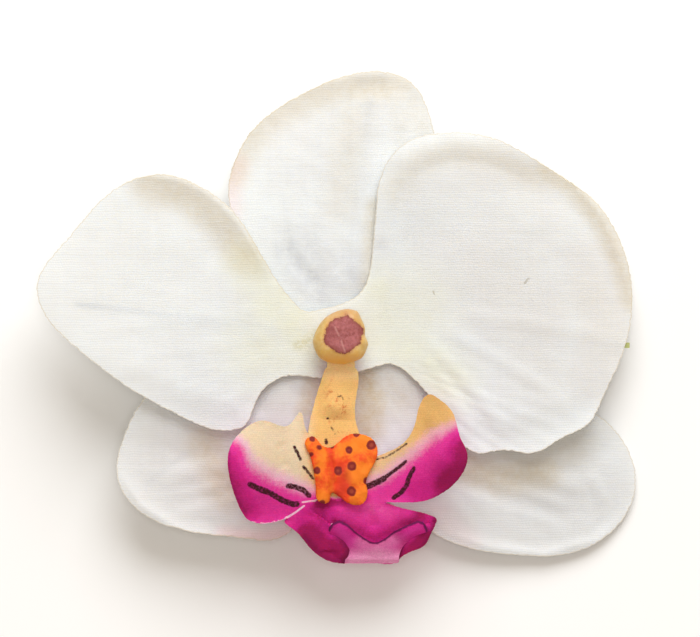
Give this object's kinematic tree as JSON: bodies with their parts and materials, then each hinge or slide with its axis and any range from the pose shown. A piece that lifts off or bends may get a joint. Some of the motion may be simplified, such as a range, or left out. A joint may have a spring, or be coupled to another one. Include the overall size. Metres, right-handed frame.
{
  "type": "orchid hair clip",
  "caption": "Silk moth orchid flower on a sprung steel alligator hair clip: cloth sepals, petals and lip on a plastic peg, hinged toothed jaws with a torsion spring.",
  "frame": {"origin": "on the flat underside of the lower jaw, below the flower's column", "axes": "+Z out of the flower's face, +Y towards the dorsal sepal, +X towards the nose of the clip"},
  "size_m": [0.0998, 0.0822, 0.0226],
  "materials": {
    "petal_cloth": "woven polyester, ivory white with a pale yellow-green centre",
    "sepal_cloth": "woven polyester, ivory white",
    "lip_cloth": "woven polyester, dyed magenta fading to cream, pale orange strap",
    "callus": "flocked cloth, orange with dark red dots",
    "column_plastic": "soft moulded plastic, olive yellow with a brown-purple cap",
    "green_plastic": "moulded plastic, olive green",
    "felt": "white pressed felt",
    "glue": "clear hot-melt glue",
    "steel": "nickel-plated sheet steel",
    "spring_steel": "spring wire"
  },
  "bodies": {
    "base": {"lower_jaw": "steel"},
    "flower": {"upper_jaw": "steel", "pivot_pin": "steel", "torsion_spring": "spring_steel", "glue_pad": "glue", "felt_pad": "felt", "calyx_hub": "green_plastic", "sepal_spine": "green_plastic", "sepal_cloth": "sepal_cloth", "petal_spine": "green_plastic", "petal_cloth": "petal_cloth", "lip_cloth": "lip_cloth", "callus": "callus", "column": "column_plastic"}
  },
  "joints": [
    {"name": "jaw_open", "type": "hinge", "parent": "base", "child": "flower", "pos_m": [-0.009, 0, 0.00255], "axis": [0, -1, 0], "range_deg": [0, 20], "stiffness_Nm_per_rad": 0.05, "springref_deg": -14.32, "deforming": ["torsion_spring"]}
  ]
}
